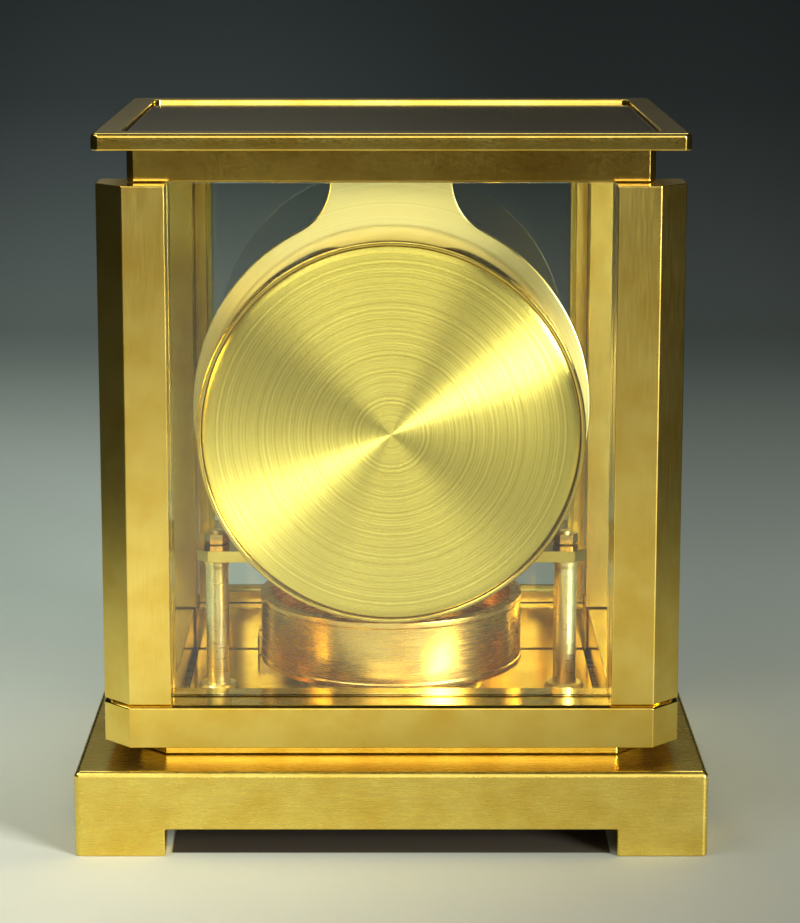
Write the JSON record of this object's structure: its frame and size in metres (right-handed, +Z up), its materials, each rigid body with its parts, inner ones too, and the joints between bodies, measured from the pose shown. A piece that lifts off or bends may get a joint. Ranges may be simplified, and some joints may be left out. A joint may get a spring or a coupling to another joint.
{
  "type": "atmospheric clock",
  "caption": "Torsion-balance mantel clock wound by an air-pressure capsule, in a gilt glazed case with a hinged door.",
  "frame": {"origin": "on the floor under the middle of the plinth", "axes": "+Z up, +Y towards the dial and door, -Y towards the capsule drum that the picture shows"},
  "size_m": [0.21, 0.165, 0.2396],
  "materials": {
    "gilt_brass": "polished and gilt brass",
    "brushed_gilt": "circular brushed gilt brass",
    "rose_gilt": "polished rose gilt brass",
    "brass": "turned and lacquered brass",
    "steel": "polished steel",
    "spring_steel": "hardened spring steel",
    "clear_glass": "clear plate glass with ground edges",
    "dark_glass": "dark polished plate glass",
    "enamel": "matt white enamelled brass",
    "level_spirit": "glass vial with green spirit"
  },
  "bodies": {
    "case": {"plinth": "gilt_brass", "bottom_rail": "gilt_brass", "post_rear_left": "gilt_brass", "post_rear_right": "gilt_brass", "post_front_left": "gilt_brass", "post_front_right": "gilt_brass", "frieze": "gilt_brass", "top_plate": "gilt_brass", "top_glass": "dark_glass", "glass_rear": "clear_glass", "glass_left": "clear_glass", "glass_right": "clear_glass", "sole_plate": "gilt_brass", "column_left": "gilt_brass", "column_right": "gilt_brass", "column_nut_left": "brass", "column_nut_right": "brass", "platform": "gilt_brass", "level_housing": "brass", "level_vial": "level_spirit", "guard_tube": "gilt_brass", "torsion_wire": "spring_steel", "suspension_head": "gilt_brass", "mounting_plate": "brushed_gilt", "back_plate": "brass", "front_plate": "brass", "pillar_1": "brass", "pillar_2": "brass", "pillar_3": "brass", "spacer_1": "brass", "spacer_2": "brass", "dial_ring": "enamel", "drum_shell": "gilt_brass", "drum_cover": "brushed_gilt", "bellows_capsule": "brass", "return_spring": "spring_steel", "winding_chain": "steel"},
    "door": {"door_frame": "gilt_brass", "door_glass": "clear_glass", "door_knob": "gilt_brass"},
    "left_foot": {"levelling_foot_left": "brass"},
    "right_foot": {"levelling_foot_right": "brass"},
    "lock": {"lock_lever": "steel"},
    "arrest": {"arrest_ring": "brass"},
    "balance": {"balance_ring": "rose_gilt", "balance_staff": "steel"},
    "rate": {"rate_lever": "steel"},
    "pallets": {"pallet_lever": "steel"},
    "escape": {"escape_wheel": "brass"},
    "minute_arbor": {"centre_wheel": "brass", "minute_hand": "gilt_brass"},
    "intermediate": {"intermediate_wheel": "brass"},
    "barrel_body": {"barrel": "brass", "mainspring": "spring_steel"},
    "winding": {"winding_arbor": "steel"},
    "minute_gear": {"minute_wheel": "brass"},
    "hour_gear": {"hour_wheel": "brass", "hour_hand": "gilt_brass"},
    "pusher": {"bellows_pusher": "steel"}
  },
  "joints": [
    {"name": "door_swing", "type": "hinge", "parent": "case", "child": "door", "pos_m": [0.0707, 0.06195, 0.0498], "axis": [0, 0, -1], "range_deg": [0, 88]},
    {"name": "balance_swing", "type": "hinge", "parent": "case", "child": "balance", "pos_m": [0, 0, 0.0584], "axis": [0, 0, 1], "range_deg": [-270, 270], "stiffness_Nm_per_rad": 0.0000049},
    {"name": "pallet_rock", "type": "hinge", "parent": "case", "child": "pallets", "pos_m": [0, 0.02, 0.1005], "axis": [0, 1, 0], "range_deg": [-4, 4]},
    {"name": "centre_turn", "type": "hinge", "parent": "case", "child": "minute_arbor", "pos_m": [0, 0.02, 0.139], "axis": [0, -1, 0], "continuous": true},
    {"name": "intermediate_turn", "type": "hinge", "parent": "case", "child": "intermediate", "pos_m": [-0.02114, 0.02, 0.13131], "axis": [0, -1, 0], "continuous": true},
    {"name": "barrel_turn", "type": "hinge", "parent": "case", "child": "barrel_body", "pos_m": [-0.02114, 0.02, 0.15831], "axis": [0, -1, 0], "continuous": true},
    {"name": "escape_turn", "type": "hinge", "parent": "case", "child": "escape", "pos_m": [0, 0.02, 0.1165], "axis": [0, -1, 0], "continuous": true},
    {"name": "minute_gear_turn", "type": "hinge", "parent": "case", "child": "minute_gear", "pos_m": [0.01813, 0.04, 0.13055], "axis": [0, -1, 0], "continuous": true},
    {"name": "hour_turn", "type": "hinge", "parent": "case", "child": "hour_gear", "pos_m": [0, 0.04, 0.139], "axis": [0, -1, 0], "continuous": true},
    {"name": "bellows_push", "type": "slide", "parent": "case", "child": "pusher", "axis": [0, 1, 0], "range_m": [0, 0.003], "stiffness_N_per_m": 2000, "deforming": ["return_spring", "winding_chain"]},
    {"name": "winding_turn", "type": "hinge", "parent": "case", "child": "winding", "pos_m": [-0.02114, 0, 0.15831], "axis": [0, 1, 0], "range_deg": [-25, 25]},
    {"name": "lock_swing", "type": "hinge", "parent": "case", "child": "lock", "pos_m": [0, 0.04, 0.034], "axis": [0, 0, 1], "range_deg": [0, 40]},
    {"name": "arrest_lift", "type": "slide", "parent": "case", "child": "arrest", "axis": [0, 0, 1], "range_m": [0, 0.002]},
    {"name": "left_foot_screw", "type": "slide", "parent": "case", "child": "left_foot", "axis": [0, 0, -1], "range_m": [0, 0.004]},
    {"name": "right_foot_screw", "type": "slide", "parent": "case", "child": "right_foot", "axis": [0, 0, -1], "range_m": [0, 0.004]},
    {"name": "rate_swing", "type": "hinge", "parent": "case", "child": "rate", "pos_m": [0, 0, 0.2153], "axis": [0, 0, 1], "range_deg": [-20, 20]}
  ],
  "couplings": [
    {"joint": "intermediate_turn", "follows": "centre_turn", "ratio": -0.25},
    {"joint": "barrel_turn", "follows": "centre_turn", "ratio": 0.0625},
    {"joint": "escape_turn", "follows": "centre_turn", "ratio": -4},
    {"joint": "minute_gear_turn", "follows": "centre_turn", "ratio": -0.33333},
    {"joint": "hour_turn", "follows": "centre_turn", "ratio": 0.083333},
    {"joint": "winding_turn", "follows": "bellows_push", "rad_per_m": 138.89},
    {"joint": "arrest_lift", "follows": "lock_swing", "m_per_rad": 0.002149}
  ]
}
